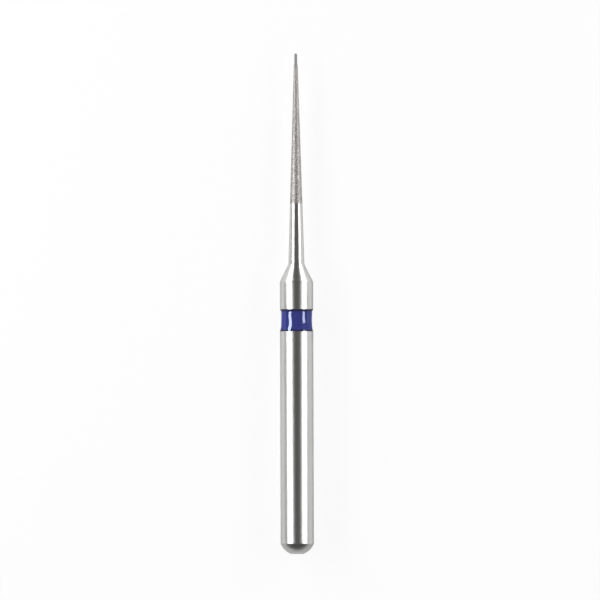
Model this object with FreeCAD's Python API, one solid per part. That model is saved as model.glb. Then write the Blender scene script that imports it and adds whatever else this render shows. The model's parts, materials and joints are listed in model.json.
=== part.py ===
# Dental bur with a friction-grip shank and a long needle head, in millimetres.
# It lies on its shank: the axis runs along +X from the butt end to the tip, and +Z is up.
# The origin is the centre of the small flat on the butt end.
import FreeCAD, Part
import math
import os

# Butt end and shank
SHANK_DIAMETER = 1.60
BUTT_FLAT_DIAMETER = 0.58
BUTT_DOME_HEIGHT = 0.51
SHANK_LENGTH = 13.05

# Groove round the shank, with square walls and a hollow floor, and the lacquer that fills it
RING_FROM_BUTT = 10.68
RING_WIDTH = 1.05
GROOVE_WALL_DEPTH = 0.10
GROOVE_FLOOR_HOLLOW = 0.02
LACQUER_WAIST_DEPTH = 0.054
LACQUER_WAIST_HOLLOW = 0.004
LACQUER_SWEEP_BUTT_SIDE = 0.29
LACQUER_SWEEP_TIP_SIDE = 0.15

# Shoulder cone and neck
SHOULDER_HALF_ANGLE = 26.45
SHOULDER_CORNER_RADIUS = 0.22
NECK_FILLET_RADIUS = 0.30
NECK_ROOT_DIAMETER = 0.77
NECK_END_DIAMETER = 0.60
NECK_LENGTH = 2.91

# Working head: a tapered core with a coat of diamond grit, and a slim nib at the tip
HEAD_LENGTH = 7.20
HEAD_BASE_DIAMETER = 0.60
HEAD_END_DIAMETER = 0.190
COAT_BASE_THICKNESS = 0.050
NIB_LENGTH = 0.55
NIB_DIAMETER = 0.140
NIB_COAT_THICKNESS = 0.030

# Radii and stations along the axis that follow from the sizes above
SHANK_RADIUS = SHANK_DIAMETER / 2
BUTT_FLAT_RADIUS = BUTT_FLAT_DIAMETER / 2
RING_END = RING_FROM_BUTT + RING_WIDTH
GROOVE_ROOT_RADIUS = SHANK_RADIUS - GROOVE_WALL_DEPTH
LACQUER_WAIST_RADIUS = SHANK_RADIUS - LACQUER_WAIST_DEPTH
NECK_ROOT_RADIUS = NECK_ROOT_DIAMETER / 2
NECK_END_RADIUS = NECK_END_DIAMETER / 2
CONE_RISE = SHANK_RADIUS - NECK_ROOT_RADIUS
NECK_START = SHANK_LENGTH + CONE_RISE / math.tan(math.radians(SHOULDER_HALF_ANGLE))
HEAD_START = NECK_START + NECK_LENGTH
TIP = HEAD_START + HEAD_LENGTH
HEAD_BASE_RADIUS = HEAD_BASE_DIAMETER / 2
HEAD_END_RADIUS = HEAD_END_DIAMETER / 2
NIB_START = TIP - NIB_LENGTH
NIB_RADIUS = NIB_DIAMETER / 2
NOSE_CENTRE = TIP - NIB_RADIUS
CORE_BASE_RADIUS = HEAD_BASE_RADIUS - COAT_BASE_THICKNESS
CORE_NOSE_RADIUS = NIB_RADIUS - NIB_COAT_THICKNESS


def point(along, radius):
    """A point of a half profile: its place along the axis, and its distance from the axis."""
    return FreeCAD.Vector(along, 0, radius)


def line(start, end):
    return Part.makeLine(start, end)


def arc(start, middle, end):
    return Part.Arc(start, middle, end).toShape()


def arc_about(centre, start, end):
    """The shorter arc from start to end about centre, from which both are equally far."""
    radius = (start - centre).Length
    outward = (start - centre) + (end - centre)
    middle = centre + outward.normalize() * radius
    return arc(start, middle, end)


def rounded_corner(before, corner, after, radius):
    """The arc that rounds a corner of the profile, tangent to the lines on both sides of it."""
    towards_before = (before - corner).normalize()
    towards_after = (after - corner).normalize()
    half_angle = towards_before.getAngle(towards_after) / 2
    setback = radius / math.tan(half_angle)
    start = corner + towards_before * setback
    end = corner + towards_after * setback
    inward = (towards_before + towards_after).normalize()
    centre = corner + inward * (radius / math.sin(half_angle))
    return arc_about(centre, start, end), start, end


def turned(edges):
    """The solid that a closed half profile sweeps in a full turn about the axis."""
    face = Part.Face(Part.Wire(edges))
    return face.revolve(FreeCAD.Vector(0, 0, 0), FreeCAD.Vector(1, 0, 0), 360)


def butt_profile():
    """The flat on the butt end, and the dome that rises from it to a plain corner at the shank."""
    flat_centre = point(0, 0)
    flat_rim = point(0, BUTT_FLAT_RADIUS)
    shank_rim = point(BUTT_DOME_HEIGHT, SHANK_RADIUS)
    rim_squares = BUTT_DOME_HEIGHT**2 + SHANK_RADIUS**2 - BUTT_FLAT_RADIUS**2
    dome_centre = point(rim_squares / (2 * BUTT_DOME_HEIGHT), 0)
    return [line(flat_centre, flat_rim), arc_about(dome_centre, flat_rim, shank_rim)]


def groove_profile():
    """The two walls of the groove and its hollow floor, from the butt side to the tip side."""
    butt_edge = point(RING_FROM_BUTT, SHANK_RADIUS)
    butt_root = point(RING_FROM_BUTT, GROOVE_ROOT_RADIUS)
    tip_root = point(RING_END, GROOVE_ROOT_RADIUS)
    tip_edge = point(RING_END, SHANK_RADIUS)
    floor_middle = (butt_root + tip_root) * 0.5 - FreeCAD.Vector(0, 0, GROOVE_FLOOR_HOLLOW)
    return [
        line(butt_edge, butt_root),
        arc(butt_root, floor_middle, tip_root),
        line(tip_root, tip_edge),
    ]


def core_profile(core_base):
    """The plain cone under the grit, with its rounded nose."""
    nose_start = point(NOSE_CENTRE, CORE_NOSE_RADIUS)
    nose_end = point(NOSE_CENTRE + CORE_NOSE_RADIUS, 0)
    return [line(core_base, nose_start), arc_about(point(NOSE_CENTRE, 0), nose_start, nose_end)]


def steel_blank():
    """The one-piece blank: butt, shank, groove, shoulder cone, neck, and core of the head."""
    shank_rim = point(BUTT_DOME_HEIGHT, SHANK_RADIUS)
    groove_start = point(RING_FROM_BUTT, SHANK_RADIUS)
    groove_end = point(RING_END, SHANK_RADIUS)
    cone_foot = point(SHANK_LENGTH, SHANK_RADIUS)
    neck_root = point(NECK_START, NECK_ROOT_RADIUS)
    neck_end = point(HEAD_START, NECK_END_RADIUS)
    core_base = point(HEAD_START, CORE_BASE_RADIUS)
    shoulder, shoulder_start, shoulder_end = rounded_corner(
        shank_rim, cone_foot, neck_root, SHOULDER_CORNER_RADIUS
    )
    fillet, fillet_start, fillet_end = rounded_corner(
        cone_foot, neck_root, neck_end, NECK_FILLET_RADIUS
    )
    edges = butt_profile()
    edges += [line(shank_rim, groove_start)]
    edges += groove_profile()
    edges += [line(groove_end, shoulder_start)]
    edges += [shoulder, line(shoulder_end, fillet_start), fillet]
    edges += [line(fillet_end, neck_end), line(neck_end, core_base)]
    edges += core_profile(core_base)
    edges += [line(point(NOSE_CENTRE + CORE_NOSE_RADIUS, 0), point(0, 0))]
    return turned(edges)


def lacquer_sweep(edge, sweep):
    """The curve that the wet lacquer draws from the waist up to one edge of the groove.

    It leaves the waist level. A negative sweep is one that rises towards the butt end.
    """
    waist_end = point(edge.x - sweep, LACQUER_WAIST_RADIUS)
    curve_radius = (sweep**2 + LACQUER_WAIST_DEPTH**2) / (2 * LACQUER_WAIST_DEPTH)
    centre = waist_end + FreeCAD.Vector(0, 0, curve_radius)
    return arc_about(centre, waist_end, edge), waist_end


def colour_ring():
    """The band of lacquer that fills the groove: flush at both edges and hollow between."""
    butt_edge = point(RING_FROM_BUTT, SHANK_RADIUS)
    tip_edge = point(RING_END, SHANK_RADIUS)
    butt_curve, waist_start = lacquer_sweep(butt_edge, -LACQUER_SWEEP_BUTT_SIDE)
    tip_curve, waist_end = lacquer_sweep(tip_edge, LACQUER_SWEEP_TIP_SIDE)
    waist_hollow = FreeCAD.Vector(0, 0, LACQUER_WAIST_HOLLOW)
    waist_middle = (waist_start + waist_end) * 0.5 - waist_hollow
    edges = groove_profile()
    edges += [tip_curve, arc(waist_end, waist_middle, waist_start), butt_curve]
    return turned(edges)


def diamond_coat():
    """The coat of grit: it starts at the step in the neck and closes over the core's nose."""
    core_base = point(HEAD_START, CORE_BASE_RADIUS)
    coat_base = point(HEAD_START, HEAD_BASE_RADIUS)
    coat_end = point(NIB_START, HEAD_END_RADIUS)
    nib_root = point(NIB_START, NIB_RADIUS)
    nose_start = point(NOSE_CENTRE, NIB_RADIUS)
    nose_end = point(TIP, 0)
    edges = core_profile(core_base)
    edges += [
        line(point(NOSE_CENTRE + CORE_NOSE_RADIUS, 0), nose_end),
        arc_about(point(NOSE_CENTRE, 0), nose_start, nose_end),
        line(nose_start, nib_root),
        line(nib_root, coat_end),
        line(coat_end, coat_base),
        line(coat_base, core_base),
    ]
    return turned(edges)


os.makedirs("parts", exist_ok=True)
steel_blank().exportStep("parts/steel_blank.step")
colour_ring().exportStep("parts/colour_ring.step")
diamond_coat().exportStep("parts/diamond_coat.step")
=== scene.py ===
import json
import math
import random
from itertools import combinations

import bpy
from mathutils import Matrix, Vector, noise


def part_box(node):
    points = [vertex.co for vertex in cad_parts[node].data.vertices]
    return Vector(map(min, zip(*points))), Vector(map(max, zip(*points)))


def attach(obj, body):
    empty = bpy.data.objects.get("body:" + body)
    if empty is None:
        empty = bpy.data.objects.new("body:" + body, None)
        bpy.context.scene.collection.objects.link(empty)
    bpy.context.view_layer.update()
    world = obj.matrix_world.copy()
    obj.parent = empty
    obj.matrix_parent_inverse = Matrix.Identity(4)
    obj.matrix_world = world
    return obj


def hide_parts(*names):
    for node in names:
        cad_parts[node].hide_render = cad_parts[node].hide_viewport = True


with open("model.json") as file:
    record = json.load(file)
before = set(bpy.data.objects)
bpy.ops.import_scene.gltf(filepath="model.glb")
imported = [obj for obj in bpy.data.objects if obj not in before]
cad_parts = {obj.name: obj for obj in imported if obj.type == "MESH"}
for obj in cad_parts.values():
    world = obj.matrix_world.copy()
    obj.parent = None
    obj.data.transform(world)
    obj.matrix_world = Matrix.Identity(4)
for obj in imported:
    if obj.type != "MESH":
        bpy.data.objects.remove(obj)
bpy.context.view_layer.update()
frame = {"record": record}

# Steel blank
# One piece of hardened stainless steel, turned on a lathe and then ground round between two wheels.
# It is the butt end, the shank, the groove for the ring, the shoulder, the neck, and the core that
# the grit is plated on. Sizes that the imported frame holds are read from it, and the rest are in mm.
MM = 0.001
mounts = {mount["name"]: mount for mount in frame["record"]["mounts"]}
ring_low, ring_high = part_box("colour_ring")
coat_low, coat_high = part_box("diamond_coat")
SHANK_RADIUS = mounts["shank"]["dims"]["r_mm"] * MM
BUTT_FLAT_RADIUS = 0.29 * MM
BUTT_DOME_HEIGHT = 0.51 * MM
RING_START = ring_low.x
RING_END = ring_high.x
GROOVE_WALL_DEPTH = 0.10 * MM
GROOVE_FLOOR_HOLLOW = 0.02 * MM
GROOVE_RIM_RADIUS = 0.02 * MM
SHOULDER_START = 13.05 * MM
SHOULDER_CORNER_RADIUS = 0.22 * MM
SHOULDER_HALF_ANGLE = math.radians(26.45)
NECK_FILLET_RADIUS = 0.30 * MM
NECK_ROOT_RADIUS = 0.385 * MM
NECK_END_RADIUS = 0.30 * MM
HEAD_START = coat_low.x
HEAD_BASE_RADIUS = coat_high.z
TIP = coat_high.x
CORE_BASE_RADIUS = 0.25 * MM
CORE_NOSE_RADIUS = 0.040 * MM
NIB_RADIUS = 0.070 * MM
CURVE_STEPS = 10
TURNED_SIDES = 144
SHARP_EDGE = math.radians(15)
TOLERANCE = 1e-6 * MM


def arc_stations(centre, start, end):
    """The points of the shorter arc from start to end about centre, in (along, radius)."""
    first, last = start - centre, end - centre
    turn = first.angle_signed(last)
    steps = range(CURVE_STEPS + 1)
    return [centre + Matrix.Rotation(-turn * i / CURVE_STEPS, 2) @ first for i in steps]


def arc_through(start, end, depth):
    """A shallow arc from start to end that dips by depth towards the axis in the middle."""
    half = (end - start) / 2
    radius = (half.length_squared + depth**2) / (2 * depth)
    rise = Vector((-half.y, half.x)).normalized() * (radius - depth)
    if rise.y < 0:
        rise.negate()
    return arc_stations(start + half + rise, start, end)


def rounded_stations(before, corner, after, radius):
    """The arc that rounds a corner of the outline."""
    back = (before - corner).normalized()
    forth = (after - corner).normalized()
    half_angle = back.angle(forth) / 2
    setback = radius / math.tan(half_angle)
    centre = corner + (back + forth).normalized() * (radius / math.sin(half_angle))
    return arc_stations(centre, corner + back * setback, corner + forth * setback)


def turned_mesh(name, outline, sides, closed=False, swell=None):
    """A mesh turned about the X axis from an outline of (along, radius) points.

    An outline point on the axis makes one vertex. A closed outline runs along the outside of a band
    or a shell first, and back along its inside. swell(along, angle, radius) is added to the radius.
    """
    vertices, rings = [], []
    for along, radius in outline:
        if radius < TOLERANCE:
            rings.append([len(vertices)])
            vertices.append((along, 0, 0))
            continue
        rings.append(list(range(len(vertices), len(vertices) + sides)))
        for side in range(sides):
            angle = 2 * math.pi * side / sides
            here = radius + (swell(along, angle, radius) if swell else 0)
            vertices.append((along, -here * math.sin(angle), here * math.cos(angle)))
    pairs = list(zip(rings, rings[1:]))
    if closed:
        pairs.append((rings[-1], rings[0]))
    faces = []
    for ring, following in pairs:
        for side in range(sides):
            corners = []
            for index in (
                ring[side % len(ring)],
                ring[(side + 1) % len(ring)],
                following[(side + 1) % len(following)],
                following[side % len(following)],
            ):
                if index not in corners:
                    corners.append(index)
            if len(corners) > 2:
                faces.append(corners)
    mesh = bpy.data.meshes.new(name)
    mesh.from_pydata(vertices, [], faces)
    mesh.shade_smooth()
    mesh.set_sharp_from_angle(angle=SHARP_EDGE)
    return mesh


def add_piece(name, mesh, material):
    """Puts a mesh into the scene as an object of that name, with its material."""
    piece = bpy.data.objects.new(name, mesh)
    piece.data.materials.append(material)
    bpy.context.collection.objects.link(piece)
    return piece


def linear(hex_colour):
    """Turns an sRGB colour such as #c5c5c2 into linear red, green, blue and alpha."""
    channels = [int(hex_colour[i : i + 2], 16) / 255 for i in (1, 3, 5)]
    return [c / 12.92 if c <= 0.04045 else ((c + 0.055) / 1.055) ** 2.4 for c in channels] + [1]


def add_node(tree, kind, settings=None, inputs=None):
    """Adds a node with its settings. An input is a value, or another node's output to link."""
    node = tree.nodes.new(kind)
    for name, value in (settings or {}).items():
        setattr(node, name, value)
    for name, value in (inputs or {}).items():
        if isinstance(value, bpy.types.NodeSocket):
            tree.links.new(value, node.inputs[name])
        else:
            node.inputs[name].default_value = value
    return node


def new_material(name):
    """A material with an empty node tree, and that tree."""
    material = bpy.data.materials.new(name)
    material.use_nodes = True
    material.node_tree.nodes.clear()
    return material, material.node_tree


# Ground stainless steel. The wheels leave fine scratches round the shank, so the surface is satin
# bright: it draws each lamp out into a soft band that fades fast to the dark between the lamps. The
# neck is turned finer than the shank. The dome of the butt end has a painted shade: its colour is
# darkened, so it reflects darker. The real scratches are about 0.005 mm apart and are drawn
# coarser, one to a pixel of the render.
STEEL_LIGHT = "#e9e9e8"
STEEL_DARK = "#e0e0df"
STEEL_AT_EDGE = "#ffffff"
STEEL_ROUGHNESS = 0.38
NECK_ROUGHNESS = 0.33
DOME_PAINTED_SHADE = "#dededd"
DOME_EDGE = 0.03 * MM
ROUGHNESS_CHANGE = 0.015
SCRATCH_SPACING = 0.045 * MM
SCRATCH_LENGTH = 0.9 * MM
SCRATCH_DEPTH = 0.0002 * MM
SCRATCH_DETAIL = 3.0

# A colour mix goes by the numbers of its sockets, since its other kinds use the same names.
SHARE, FIRST, SECOND, MIXED = 0, 6, 7, 2

ground_steel, tree = new_material("stainless_steel_ground")
place = add_node(tree, "ShaderNodeTexCoord")
stretched = add_node(
    tree,
    "ShaderNodeMapping",
    inputs={
        "Vector": place.outputs["Object"],
        "Scale": (1 / SCRATCH_SPACING, 1 / SCRATCH_LENGTH, 1 / SCRATCH_LENGTH),
    },
)
scratches = add_node(
    tree,
    "ShaderNodeTexNoise",
    inputs={"Vector": stretched.outputs["Vector"], "Scale": 1.0, "Detail": SCRATCH_DETAIL},
)
steel_colour = add_node(
    tree,
    "ShaderNodeMix",
    {"data_type": "RGBA"},
    {
        SHARE: scratches.outputs["Fac"],
        FIRST: linear(STEEL_LIGHT),
        SECOND: linear(STEEL_DARK),
    },
)
along_axis = add_node(tree, "ShaderNodeSeparateXYZ", inputs={"Vector": place.outputs["Object"]})
on_dome = add_node(
    tree,
    "ShaderNodeMapRange",
    inputs={
        "Value": along_axis.outputs["X"],
        "From Min": BUTT_DOME_HEIGHT,
        "From Max": BUTT_DOME_HEIGHT - DOME_EDGE,
    },
)
# Painted shade: the colour of the dome is darkened.
dome_painted_shade_colour = add_node(
    tree,
    "ShaderNodeMix",
    {"data_type": "RGBA", "blend_type": "MULTIPLY"},
    {
        SHARE: on_dome.outputs["Result"],
        FIRST: steel_colour.outputs[MIXED],
        SECOND: linear(DOME_PAINTED_SHADE),
    },
)
finish = add_node(
    tree,
    "ShaderNodeMapRange",
    inputs={
        "Value": along_axis.outputs["X"],
        "From Min": SHOULDER_START,
        "From Max": SHOULDER_START + SHOULDER_CORNER_RADIUS,
        "To Min": STEEL_ROUGHNESS,
        "To Max": NECK_ROUGHNESS,
    },
)
steel_roughness = add_node(
    tree,
    "ShaderNodeMath",
    {"operation": "MULTIPLY_ADD"},
    {0: scratches.outputs["Fac"], 1: ROUGHNESS_CHANGE, 2: finish.outputs["Result"]},
)
scratch_bump = add_node(
    tree,
    "ShaderNodeBump",
    inputs={"Height": scratches.outputs["Fac"], "Distance": SCRATCH_DEPTH},
)
steel_shader = add_node(
    tree,
    "ShaderNodeBsdfMetallic",
    {"distribution": "BECKMANN", "fresnel_type": "F82"},
    {
        "Base Color": dome_painted_shade_colour.outputs[MIXED],
        "Edge Tint": linear(STEEL_AT_EDGE),
        "Roughness": steel_roughness.outputs["Value"],
        "Normal": scratch_bump.outputs["Normal"],
    },
)
add_node(tree, "ShaderNodeOutputMaterial", inputs={"Surface": steel_shader.outputs["BSDF"]})


def groove_floor():
    """The groove's hollow floor, from the foot of the butt wall to the foot of the tip wall."""
    root = SHANK_RADIUS - GROOVE_WALL_DEPTH
    return arc_through(Vector((RING_START, root)), Vector((RING_END, root)), GROOVE_FLOOR_HOLLOW)


def groove_outline(before, after):
    """The groove with its two rims broken, between the points before and after it."""
    butt_rim = Vector((RING_START, SHANK_RADIUS))
    tip_rim = Vector((RING_END, SHANK_RADIUS))
    floor = groove_floor()
    return [
        *rounded_stations(before, butt_rim, floor[0], GROOVE_RIM_RADIUS),
        *floor,
        *rounded_stations(floor[-1], tip_rim, after, GROOVE_RIM_RADIUS),
    ]


def blank_outline():
    """The blank from the middle of the butt end to the nose of the core."""
    flat_rim = Vector((0, BUTT_FLAT_RADIUS))
    shank_rim = Vector((BUTT_DOME_HEIGHT, SHANK_RADIUS))
    squares = BUTT_DOME_HEIGHT**2 + SHANK_RADIUS**2 - BUTT_FLAT_RADIUS**2
    dome_centre = Vector((squares / (2 * BUTT_DOME_HEIGHT), 0))
    shoulder = Vector((SHOULDER_START, SHANK_RADIUS))
    cone_length = (SHANK_RADIUS - NECK_ROOT_RADIUS) / math.tan(SHOULDER_HALF_ANGLE)
    neck_root = Vector((SHOULDER_START + cone_length, NECK_ROOT_RADIUS))
    neck_end = Vector((HEAD_START, NECK_END_RADIUS))
    nose_centre = Vector((TIP - NIB_RADIUS, 0))
    nose_start = nose_centre + Vector((0, CORE_NOSE_RADIUS))
    nose_end = nose_centre + Vector((CORE_NOSE_RADIUS, 0))
    return [
        Vector((0, 0)),
        *arc_stations(dome_centre, flat_rim, shank_rim),
        *groove_outline(shank_rim, shoulder),
        *rounded_stations(shank_rim, shoulder, neck_root, SHOULDER_CORNER_RADIUS),
        *rounded_stations(shoulder, neck_root, neck_end, NECK_FILLET_RADIUS),
        neck_end,
        Vector((HEAD_START, CORE_BASE_RADIUS)),
        *arc_stations(nose_centre, nose_start, nose_end),
    ]


blank_mesh = turned_mesh("blank", blank_outline(), TURNED_SIDES)
blank = add_piece("blank", blank_mesh, ground_steel)
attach(blank, "root")
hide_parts("steel_blank")

# Colour ring
# A band of blue lacquer, laid into the groove with a brush while the bur spins, and baked hard.
# It dries flush with the shank at both edges and hollow between, and never quite even all round.
# Its edge on the tip side ends in a small round crest.
LACQUER_WAIST_DEPTH = 0.054 * MM
LACQUER_WAIST_HOLLOW = 0.004 * MM
LACQUER_SWEEP_BUTT_SIDE = 0.29 * MM
LACQUER_SWEEP_TIP_SIDE = 0.15 * MM
LACQUER_CREST = 0.03 * MM
LACQUER_CREST_RADIUS = 0.055 * MM
LACQUER_RIPPLE = 0.012 * MM
LACQUER_RIPPLE_WIDTH = 0.4 * MM
RIPPLE_START = Vector((-12.0, -8.6, 16.2))  # bends the lamps' lines as in the photograph
RING_SIDES = 192

# Blue lacquer, brushed on and baked. It is a smooth clear film over dense pigment, so the body
# stays deep blue and each lamp shows in it as one sharp line, which bends where the film is uneven.
# Its colour has painted shade along both brims. A thin haze takes the shine away at a flat angle,
# and one spot that was touched while it was wet has dried dull.
LACQUER_BLUE = "#363f92"
LACQUER_DEEP_BLUE = "#323780"
LACQUER_ROUGHNESS = 0.028
LACQUER_IOR = 1.70
LACQUER_SHINE = "#dfe9ff"
LACQUER_BRIM_PAINTED_SHADE = "#2c2753"
BRIM_FROM_EDGE = 0.12 * MM
BRIM_FULL_AT = 0.07 * MM
TOUCHED_SPOT = Vector((10.90, -0.40, 0.63)) * MM
TOUCHED_FULL = 0.15 * MM
TOUCHED_REACH = 0.22 * MM
DULL_ROUGHNESS = 0.4
GLOSSY_SPECULAR = 1.0
HAZY_SPECULAR = 0.12
HAZE_FROM = 0.17
HAZE_FULL = 0.4
DULL_SPECULAR = 0.1
PIGMENT_CLOUD = 0.35 * MM

blue_lacquer, tree = new_material("lacquer_brushed_and_baked")
place = add_node(tree, "ShaderNodeTexCoord")
clouds = add_node(
    tree,
    "ShaderNodeTexNoise",
    inputs={"Vector": place.outputs["Object"], "Scale": 1 / PIGMENT_CLOUD},
)
lacquer_colour = add_node(
    tree,
    "ShaderNodeMix",
    {"data_type": "RGBA"},
    {
        SHARE: clouds.outputs["Fac"],
        FIRST: linear(LACQUER_BLUE),
        SECOND: linear(LACQUER_DEEP_BLUE),
    },
)
along_axis = add_node(tree, "ShaderNodeSeparateXYZ", inputs={"Vector": place.outputs["Object"]})
from_middle = add_node(
    tree,
    "ShaderNodeMath",
    {"operation": "SUBTRACT"},
    {0: along_axis.outputs["X"], 1: (RING_START + RING_END) / 2},
)
off_middle = add_node(
    tree, "ShaderNodeMath", {"operation": "ABSOLUTE"}, {0: from_middle.outputs["Value"]}
)
brim = add_node(
    tree,
    "ShaderNodeMapRange",
    inputs={
        "Value": off_middle.outputs["Value"],
        "From Min": (RING_END - RING_START) / 2 - BRIM_FROM_EDGE,
        "From Max": (RING_END - RING_START) / 2 - BRIM_FULL_AT,
    },
)
# Painted shade: a dark line of colour along both brims of the lacquer.
brim_painted_shade_colour = add_node(
    tree,
    "ShaderNodeMix",
    {"data_type": "RGBA"},
    {
        SHARE: brim.outputs["Result"],
        FIRST: lacquer_colour.outputs[MIXED],
        SECOND: linear(LACQUER_BRIM_PAINTED_SHADE),
    },
)
from_spot = add_node(
    tree,
    "ShaderNodeVectorMath",
    {"operation": "DISTANCE"},
    {0: place.outputs["Object"], 1: TOUCHED_SPOT},
)
touched = add_node(
    tree,
    "ShaderNodeMapRange",
    inputs={
        "Value": from_spot.outputs["Value"],
        "From Min": TOUCHED_REACH,
        "From Max": TOUCHED_FULL,
    },
)
grazing = add_node(tree, "ShaderNodeLayerWeight")
film_specular = add_node(
    tree,
    "ShaderNodeMapRange",
    inputs={
        "Value": grazing.outputs["Facing"],
        "From Min": HAZE_FROM,
        "From Max": HAZE_FULL,
        "To Min": GLOSSY_SPECULAR,
        "To Max": HAZY_SPECULAR,
    },
)
lacquer_roughness = add_node(
    tree,
    "ShaderNodeMapRange",
    inputs={
        "Value": touched.outputs["Result"],
        "To Min": LACQUER_ROUGHNESS,
        "To Max": DULL_ROUGHNESS,
    },
)
lacquer_specular = add_node(
    tree,
    "ShaderNodeMapRange",
    inputs={
        "Value": touched.outputs["Result"],
        "To Min": film_specular.outputs["Result"],
        "To Max": DULL_SPECULAR,
    },
)
lacquer_shader = add_node(
    tree,
    "ShaderNodeBsdfPrincipled",
    inputs={
        "Base Color": brim_painted_shade_colour.outputs[MIXED],
        "Specular Tint": linear(LACQUER_SHINE),
        "Roughness": lacquer_roughness.outputs["Result"],
        "Specular IOR Level": lacquer_specular.outputs["Result"],
        "IOR": LACQUER_IOR,
    },
)
add_node(tree, "ShaderNodeOutputMaterial", inputs={"Surface": lacquer_shader.outputs["BSDF"]})


def lacquer_sweep(edge, sweep):
    """The curve from the waist up to an edge. A negative sweep rises towards the butt end."""
    waist_end = Vector((edge.x - sweep, SHANK_RADIUS - LACQUER_WAIST_DEPTH))
    radius = (sweep**2 + LACQUER_WAIST_DEPTH**2) / (2 * LACQUER_WAIST_DEPTH)
    return arc_stations(waist_end + Vector((0, radius)), waist_end, edge)


def ring_outline():
    """The lacquer's face from butt side to tip side, and back along the groove."""
    butt_sweep = lacquer_sweep(Vector((RING_START, SHANK_RADIUS)), -LACQUER_SWEEP_BUTT_SIDE)
    tip_edge = Vector((RING_END, SHANK_RADIUS))
    crest = tip_edge - Vector((LACQUER_CREST, 0))
    *rise, top_of_rise = lacquer_sweep(crest, LACQUER_SWEEP_TIP_SIDE - LACQUER_CREST)[:-2]
    crest_round = rounded_stations(top_of_rise, crest, tip_edge, LACQUER_CREST_RADIUS)
    waist = arc_through(butt_sweep[0], rise[0], LACQUER_WAIST_HOLLOW)
    face = [*reversed(butt_sweep), *waist[1:-1], *rise, *crest_round, tip_edge]
    return [*face, *reversed(groove_floor())]


def lacquer_swell(along, angle, radius):
    """How much more or less lacquer dried here. It is none at the edges and in the groove."""
    if radius < SHANK_RADIUS - GROOVE_WALL_DEPTH + TOLERANCE:
        return 0
    from_edge = min(along - RING_START, RING_END - along)
    share = min(1, from_edge / LACQUER_SWEEP_TIP_SIDE)
    spot = Vector((along, math.sin(angle) * radius, math.cos(angle) * radius))
    return share * LACQUER_RIPPLE * noise.noise(spot / LACQUER_RIPPLE_WIDTH + RIPPLE_START)


ring_mesh = turned_mesh("ring", ring_outline(), RING_SIDES, closed=True, swell=lacquer_swell)
ring = add_piece("ring", ring_mesh, blue_lacquer)
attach(ring, "root")
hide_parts("colour_ring")

# Nickel bond
# The metal that holds the grit: nickel, plated onto the core while the grains lie against it.
# It creeps up round each grain, so its skin is lumpy, and it stops in an uneven edge at the neck.
BOND_DEPTH = 0.011 * MM
BOND_LUMPS = 0.005 * MM
BOND_LUMP_WIDTH = 0.06 * MM
LUMPS_AT_LEAST = 0.3
NIB_START = TIP - 0.55 * MM
HEAD_END_RADIUS = 0.095 * MM
BOND_ROWS = 150
BOND_SIDES = 56

# Nickel, plated dull over grit. A grey metal with a faint warm cast. Its lumps scatter the lamps
# into soft bright and dark flecks, and its colour is darker towards the tip.
NICKEL_LIGHT = "#bdb9b7"
NICKEL_DARK = "#898683"
NICKEL_TIP_DARK = "#8f8e8b"
TIP_DARKENING_FROM = 0.25 * MM
TIP_DARKENING_OVER = 0.25 * MM
NICKEL_ROUGHNESS = 0.46
FLECK_DETAIL = 4.0


def darker_to_tip(tree, colour, tip_colour):
    """Mixes a colour node towards a darker colour over the last stretch of the head."""
    place = add_node(tree, "ShaderNodeTexCoord")
    along_axis = add_node(tree, "ShaderNodeSeparateXYZ", inputs={"Vector": place.outputs["Object"]})
    share = add_node(
        tree,
        "ShaderNodeMapRange",
        inputs={
            "Value": along_axis.outputs["X"],
            "From Min": NIB_START - TIP_DARKENING_FROM,
            "From Max": NIB_START - TIP_DARKENING_FROM + TIP_DARKENING_OVER,
        },
    )
    return add_node(
        tree,
        "ShaderNodeMix",
        {"data_type": "RGBA"},
        {
            SHARE: share.outputs["Result"],
            FIRST: colour.outputs[MIXED],
            SECOND: linear(tip_colour),
        },
    )


plated_nickel, tree = new_material("nickel_plated_dull")
place = add_node(tree, "ShaderNodeTexCoord")
flecks = add_node(
    tree,
    "ShaderNodeTexNoise",
    inputs={
        "Vector": place.outputs["Object"],
        "Scale": 1 / BOND_LUMP_WIDTH,
        "Detail": FLECK_DETAIL,
    },
)
nickel_colour = add_node(
    tree,
    "ShaderNodeMix",
    {"data_type": "RGBA"},
    {
        SHARE: flecks.outputs["Fac"],
        FIRST: linear(NICKEL_DARK),
        SECOND: linear(NICKEL_LIGHT),
    },
)
nickel_at_tip = darker_to_tip(tree, nickel_colour, NICKEL_TIP_DARK)
nickel_shader = add_node(
    tree,
    "ShaderNodeBsdfPrincipled",
    inputs={
        "Base Color": nickel_at_tip.outputs[MIXED],
        "Metallic": 1.0,
        "Roughness": NICKEL_ROUGHNESS,
    },
)
add_node(tree, "ShaderNodeOutputMaterial", inputs={"Surface": nickel_shader.outputs["BSDF"]})


def coat_radius(along):
    """The outer radius of the coat over its grains, at a place along the axis."""
    if along < NIB_START:
        share = (along - HEAD_START) / (NIB_START - HEAD_START)
        return HEAD_BASE_RADIUS + (HEAD_END_RADIUS - HEAD_BASE_RADIUS) * share
    from_nose = max(0, along - (TIP - NIB_RADIUS))
    return math.sqrt(max(0, NIB_RADIUS**2 - from_nose**2))


def core_radius(along):
    """The radius of the core under the bond, at a place along the axis."""
    from_nose = along - (TIP - NIB_RADIUS)
    if from_nose < 0:
        share = (along - HEAD_START) / (TIP - NIB_RADIUS - HEAD_START)
        return CORE_BASE_RADIUS + (CORE_NOSE_RADIUS - CORE_BASE_RADIUS) * share
    return math.sqrt(max(0, CORE_NOSE_RADIUS**2 - from_nose**2))


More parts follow.
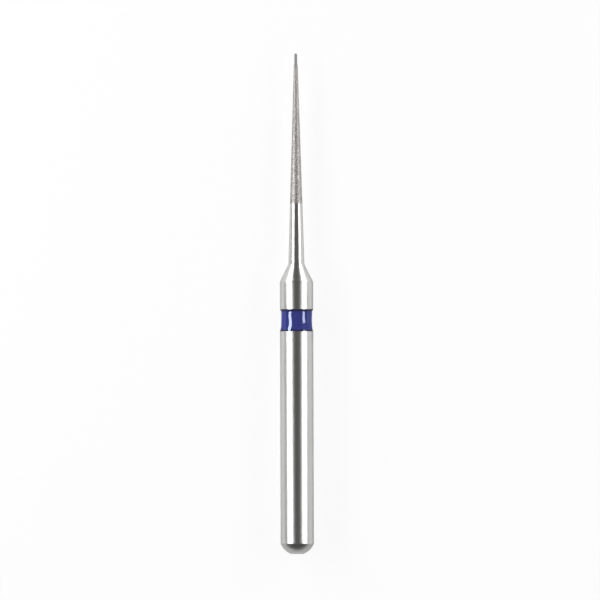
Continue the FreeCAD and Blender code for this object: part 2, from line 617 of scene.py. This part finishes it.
def bond_outline():
    """The skin of the bond from the step at the neck to the nose, and back along the core."""
    last = TIP - NIB_RADIUS
    rows = [HEAD_START + (last - HEAD_START) * row / BOND_ROWS for row in range(BOND_ROWS + 1)]
    skin = [Vector((along, coat_radius(along) - BOND_DEPTH)) for along in rows]
    centre = Vector((last, 0))
    nose = arc_stations(centre, skin[-1], centre + Vector((NIB_RADIUS - BOND_DEPTH, 0)))
    core_nose = arc_stations(
        centre, centre + Vector((CORE_NOSE_RADIUS, 0)), centre + Vector((0, CORE_NOSE_RADIUS))
    )
    return [*skin, *nose[1:], *core_nose, Vector((HEAD_START, CORE_BASE_RADIUS))]


def bond_swell(along, angle, radius):
    """The lumps of the skin, which get lower towards the nose. There are none on the core."""
    if radius < core_radius(along) + TOLERANCE:
        return 0
    spot = Vector((along, math.sin(angle) * radius, math.cos(angle) * radius)) / BOND_LUMP_WIDTH
    share = radius / HEAD_BASE_RADIUS
    return BOND_LUMPS * (LUMPS_AT_LEAST + (1 - LUMPS_AT_LEAST) * share) * noise.noise(spot)


bond_mesh = turned_mesh("bond", bond_outline(), BOND_SIDES, closed=True, swell=bond_swell)
bond = add_piece("bond", bond_mesh, plated_nickel)
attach(bond, "root")
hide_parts("diamond_coat")

# Diamond grit
# Blocky crystals of medium grit, each sunk for about half its depth in the nickel. Real ones are
# about 0.1 mm across. They are drawn smaller and flatter, as fine as the photograph shows.
GRAIN_BASE_SIZE = 0.070 * MM
GRAIN_TIP_SIZE = 0.026 * MM
GRAIN_UNEVEN = 0.005 * MM
GRAIN_RAGGED_EDGE = 0.06 * MM
GRAINS_IN_ROW_AT_LEAST = 3
GRAIN_SEED = 7
EDGE_ALLOWANCE = 1.01

# Shares of a grain's size, of the spacing for the row step and the drift round the head, and of
# half its height for the sink. Where there are two, each grain or corner draws one between them.
GRAIN_SPACING = 0.85
GRAIN_ROW_STEP = 0.87
GRAIN_DRIFT_ALONG = 0.4
GRAIN_DRIFT_ROUND = 0.3
GRAIN_HALF_SIZE = (0.42, 0.66)
GRAIN_STRETCH = (0.85, 1.2)
GRAIN_CORNER_REACH = (0.86, 1.06)
GRAIN_FLATNESS = 0.30
GRAIN_SINK = 0.80

# Diamond, as broken crystals with flat faces. Each face shines by itself, pale on one grain and
# dusty on the next. The plating leaves a film of nickel on them, so they are drawn mostly as metal.
DIAMOND_PALE = "#dbd7d5"
DIAMOND_DUSTY = "#9a9695"
DIAMOND_TIP_DARK = "#a09f9d"
DIAMOND_ROUGHNESS = 0.48
DIAMOND_METALLIC = 0.9

diamond_grit, tree = new_material("diamond_grit_plated_in")
shade = add_node(tree, "ShaderNodeAttribute", {"attribute_name": "grain_shade"})
diamond_colour = add_node(
    tree,
    "ShaderNodeMix",
    {"data_type": "RGBA"},
    {
        SHARE: shade.outputs["Fac"],
        FIRST: linear(DIAMOND_DUSTY),
        SECOND: linear(DIAMOND_PALE),
    },
)
diamond_at_tip = darker_to_tip(tree, diamond_colour, DIAMOND_TIP_DARK)
diamond_shader = add_node(
    tree,
    "ShaderNodeBsdfPrincipled",
    inputs={
        "Base Color": diamond_at_tip.outputs[MIXED],
        "Metallic": DIAMOND_METALLIC,
        "Roughness": DIAMOND_ROUGHNESS,
    },
)
add_node(tree, "ShaderNodeOutputMaterial", inputs={"Surface": diamond_shader.outputs["BSDF"]})


def grain_corners():
    """The twelve corners of an even crystal of unit radius, and its twenty faces."""
    golden = (1 + math.sqrt(5)) / 2
    corners = []
    for one in (-1, 1):
        for other in (-golden, golden):
            corners += [(0, one, other), (one, other, 0), (other, 0, one)]
    corners = [Vector(corner).normalized() for corner in corners]
    reach = min((a - b).length for a, b in combinations(corners, 2)) * EDGE_ALLOWANCE
    faces = []
    for i, j, k in combinations(range(len(corners)), 3):
        a, b, c = corners[i], corners[j], corners[k]
        if max((a - b).length, (b - c).length, (c - a).length) < reach:
            outward = (b - a).cross(c - a).dot(a) > 0
            faces.append((i, j, k) if outward else (i, k, j))
    return corners, faces


def coat_frame(along, angle):
    """The place on the coat's outside, and the axes there: up the head, round it, and outward."""
    radius = coat_radius(along)
    lean = math.asin(min(1, max(0, (along - (TIP - NIB_RADIUS)) / NIB_RADIUS)))
    outward = Vector((0, -math.sin(angle), math.cos(angle)))
    round_it = Vector((0, math.cos(angle), math.sin(angle)))
    place = Vector((along, 0, 0)) + outward * radius
    normal = outward * math.cos(lean) + Vector((math.sin(lean), 0, 0))
    up_head = Vector((math.cos(lean), 0, 0)) - outward * math.sin(lean)
    return place, Matrix((up_head, round_it, normal)).transposed()


def grit_mesh():
    """All the grains: rings of crystals up the head, each one turned, flattened and chipped."""
    draw = random.Random(GRAIN_SEED)
    corners, crystal_faces = grain_corners()
    vertices, faces, shades = [], [], []
    row = HEAD_START
    while row < TIP:
        share = (TIP - row) / (TIP - HEAD_START)
        size = GRAIN_TIP_SIZE + (GRAIN_BASE_SIZE - GRAIN_TIP_SIZE) * share
        count = round(2 * math.pi * coat_radius(row) / (size * GRAIN_SPACING))
        count = max(GRAINS_IN_ROW_AT_LEAST, count)
        first_angle = draw.uniform(0, 2 * math.pi)
        for grain in range(count):
            along = row + draw.uniform(-GRAIN_DRIFT_ALONG, GRAIN_DRIFT_ALONG) * size
            along = max(along, HEAD_START + draw.uniform(0, 1) * GRAIN_RAGGED_EDGE)
            drift = draw.uniform(-GRAIN_DRIFT_ROUND, GRAIN_DRIFT_ROUND)
            angle = first_angle + 2 * math.pi * (grain + drift) / count
            place, axes = coat_frame(min(along, TIP), angle)
            half = size * draw.uniform(*GRAIN_HALF_SIZE)
            stretch = [draw.uniform(*GRAIN_STRETCH), draw.uniform(*GRAIN_STRETCH), GRAIN_FLATNESS]
            sink = half * GRAIN_FLATNESS * GRAIN_SINK + draw.uniform(0, 1) * GRAIN_UNEVEN
            turn = Matrix.Rotation(draw.uniform(0, 2 * math.pi), 3, "X")
            turn @= Matrix.Rotation(draw.uniform(0, 2 * math.pi), 3, "Y")
            start = len(vertices)
            for corner in corners:
                chipped = turn @ corner * draw.uniform(*GRAIN_CORNER_REACH) * half
                shaped = Vector([c * s for c, s in zip(chipped, stretch)])
                vertex = place + axes @ (shaped - Vector((0, 0, sink)))
                vertex.x = min(vertex.x, TIP)
                vertices.append(vertex)
            faces += [[start + index for index in face] for face in crystal_faces]
            shades += [draw.random()] * len(corners)
        row += size * GRAIN_SPACING * GRAIN_ROW_STEP
    mesh = bpy.data.meshes.new("grit")
    mesh.from_pydata(vertices, [], faces)
    mesh.attributes.new("grain_shade", "FLOAT", "POINT").data.foreach_set("value", shades)
    return mesh


grit = add_piece("grit", grit_mesh(), diamond_grit)
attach(grit, "root")
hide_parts("diamond_coat")

# Table
# A wide white board, and the bur lies on it. Seen straight it is lifted to white, as the
# photograph's background is, and near the bur the part that isn't lifted keeps the soft shadow.
TABLE_RADIUS = 1500 * MM
TABLE_SIDES = 96
BOARD_WHITE = "#f8f8f7"
SEEN_WHITE = "#ffffff"
NEAR_LIFT = 0.90
NEAR_WITHIN = 30 * MM
FAR_BEYOND = 100 * MM
PAINT_ROUGHNESS = 0.9

# White board, painted matt. It has no gloss, so it sends an even light up under the bur. Seen
# straight it is whiter than in the steel, as in an overexposed photograph.
white_board, tree = new_material("board_painted_white")
path = add_node(tree, "ShaderNodeLightPath")
place = add_node(tree, "ShaderNodeTexCoord")
paint_colour = add_node(
    tree,
    "ShaderNodeMix",
    {"data_type": "RGBA"},
    {
        SHARE: path.outputs["Is Camera Ray"],
        FIRST: linear(BOARD_WHITE),
        SECOND: linear(SEEN_WHITE),
    },
)
paint = add_node(
    tree,
    "ShaderNodeBsdfPrincipled",
    inputs={
        "Base Color": paint_colour.outputs[MIXED],
        "Roughness": PAINT_ROUGHNESS,
        "Specular IOR Level": 0.0,
    },
)
lift = add_node(tree, "ShaderNodeEmission", inputs={"Color": linear(SEEN_WHITE)})
from_bur = add_node(
    tree, "ShaderNodeVectorMath", {"operation": "LENGTH"}, {0: place.outputs["Object"]}
)
lift_here = add_node(
    tree,
    "ShaderNodeMapRange",
    inputs={
        "Value": from_bur.outputs["Value"],
        "From Min": NEAR_WITHIN,
        "From Max": FAR_BEYOND,
        "To Min": NEAR_LIFT,
        "To Max": 1.0,
    },
)
seen = add_node(
    tree,
    "ShaderNodeMath",
    {"operation": "MULTIPLY"},
    {0: path.outputs["Is Camera Ray"], 1: lift_here.outputs["Result"]},
)
seen_white = add_node(
    tree,
    "ShaderNodeMixShader",
    inputs={0: seen.outputs["Value"], 1: paint.outputs["BSDF"], 2: lift.outputs["Emission"]},
)
add_node(tree, "ShaderNodeOutputMaterial", inputs={"Surface": seen_white.outputs["Shader"]})

angles = [2 * math.pi * side / TABLE_SIDES for side in range(TABLE_SIDES)]
table_edge = [
    (TABLE_RADIUS * math.cos(angle), TABLE_RADIUS * math.sin(angle), -SHANK_RADIUS)
    for angle in angles
]
table_mesh = bpy.data.meshes.new("table")
table_mesh.from_pydata(table_edge, [], [list(range(TABLE_SIDES))])
table = add_piece("table", table_mesh, white_board)

# Lamps
# Two long strip lamps, one to each side of the bur, the left one brighter. Each draws a white band
# along the steel and a sharp line in the lacquer. They end a bur's length past the butt end, so its
# dome faces the grey room, and they come down past the tip, where the shoulder looks for them.
LAMP_START = -25 * MM
LAMP_END = 130 * MM
LAMP_START_HEIGHT = 51 * MM
LAMP_END_HEIGHT = 11 * MM
LEFT_ASIDE = 51.7 * MM
LEFT_WIDTH = 19 * MM
LEFT_RADIANCE = 6.4
RIGHT_ASIDE = 58.5 * MM
RIGHT_WIDTH = 20.5 * MM
RIGHT_RADIANCE = 4.7

for name, aside, width, radiance in (
    ("left", LEFT_ASIDE, LEFT_WIDTH, LEFT_RADIANCE),
    ("right", -RIGHT_ASIDE, RIGHT_WIDTH, RIGHT_RADIANCE),
):
    near = Vector((LAMP_START, aside, LAMP_START_HEIGHT))
    far = Vector((LAMP_END, aside, LAMP_END_HEIGHT))
    length = (far - near).length
    lamp_data = bpy.data.lights.new(f"strip_{name}", "AREA")
    lamp_data.shape = "RECTANGLE"
    lamp_data.size = length
    lamp_data.size_y = width
    lamp_data.energy = radiance * math.pi * length * width
    lamp = bpy.data.objects.new(f"strip_{name}", lamp_data)
    along = (far - near).normalized()
    away = (near - along * near.dot(along)).normalized()
    # A lamp shines along its own -Z, so its Z points away from the bur.
    turn = Matrix((along, away.cross(along), away)).transposed()
    lamp.matrix_world = Matrix.LocRotScale((near + far) / 2, turn, None)
    lamp.visible_camera = False
    bpy.context.collection.objects.link(lamp)

# Room
# A dim grey room with a low white sweep round the table. The sweep is lower past the butt end and
# on the left. The camera sees plain white behind the table in every direction.
ROOM_GREY = "#5f5f5e"
SWEEP_WHITE = "#f0f0ee"
SWEEP_SLOPE = (-0.2, 0.05, 1)
SWEEP_FULL_BELOW = 0.0
SWEEP_NONE_ABOVE = 0.14

room = bpy.data.worlds.new("room")
room.use_nodes = True
tree = room.node_tree
tree.nodes.clear()
place = add_node(tree, "ShaderNodeTexCoord")
height = add_node(
    tree,
    "ShaderNodeVectorMath",
    {"operation": "DOT_PRODUCT"},
    {0: place.outputs["Generated"], 1: SWEEP_SLOPE},
)
greyness = add_node(
    tree,
    "ShaderNodeMapRange",
    {"interpolation_type": "SMOOTHSTEP"},
    {
        "Value": height.outputs["Value"],
        "From Min": SWEEP_FULL_BELOW,
        "From Max": SWEEP_NONE_ABOVE,
    },
)
room_colour = add_node(
    tree,
    "ShaderNodeMix",
    {"data_type": "RGBA"},
    {
        SHARE: greyness.outputs["Result"],
        FIRST: linear(SWEEP_WHITE),
        SECOND: linear(ROOM_GREY),
    },
)
room_light = add_node(tree, "ShaderNodeBackground", inputs={"Color": room_colour.outputs[MIXED]})
backdrop = add_node(tree, "ShaderNodeBackground", inputs={"Color": linear(SEEN_WHITE)})
path = add_node(tree, "ShaderNodeLightPath")
surroundings = add_node(
    tree,
    "ShaderNodeMixShader",
    inputs={
        0: path.outputs["Is Camera Ray"],
        1: room_light.outputs["Background"],
        2: backdrop.outputs["Background"],
    },
)
add_node(tree, "ShaderNodeOutputWorld", inputs={"Surface": surroundings.outputs["Shader"]})
bpy.context.scene.world = room
bpy.context.scene.view_settings.view_transform = "Standard"

# Camera
# It looks straight down on the bur from far off, through a long lens, with the tip at the top of
# the picture. In the photograph, 600 pixels square, the bur leans a little to the left.
PICTURE_SIZE = 600
PIXELS_PER_MM = 20.858
MIDDLE_ALONG = 12 * MM
MIDDLE_DOWN_PICTURE = 303.6
AXIS_ACROSS_PICTURE = 296.5
LEAN = math.radians(0.18)
LENS_MM = 600
SENSOR_MM = 36
FARTHEST_SEEN = 10000 * MM

camera_data = bpy.data.cameras.new("camera")
camera_data.lens = LENS_MM
camera_data.sensor_width = SENSOR_MM
camera_data.clip_end = FARTHEST_SEEN
view_width = PICTURE_SIZE / PIXELS_PER_MM * MM
camera = bpy.data.objects.new("camera", camera_data)
camera.location = (
    MIDDLE_ALONG + (MIDDLE_DOWN_PICTURE - PICTURE_SIZE / 2) / PIXELS_PER_MM * MM,
    (AXIS_ACROSS_PICTURE - PICTURE_SIZE / 2) / PIXELS_PER_MM * MM,
    view_width * LENS_MM / SENSOR_MM,
)
camera.rotation_euler = (0, 0, -math.pi / 2 - LEAN)
bpy.context.collection.objects.link(camera)
bpy.context.scene.camera = camera
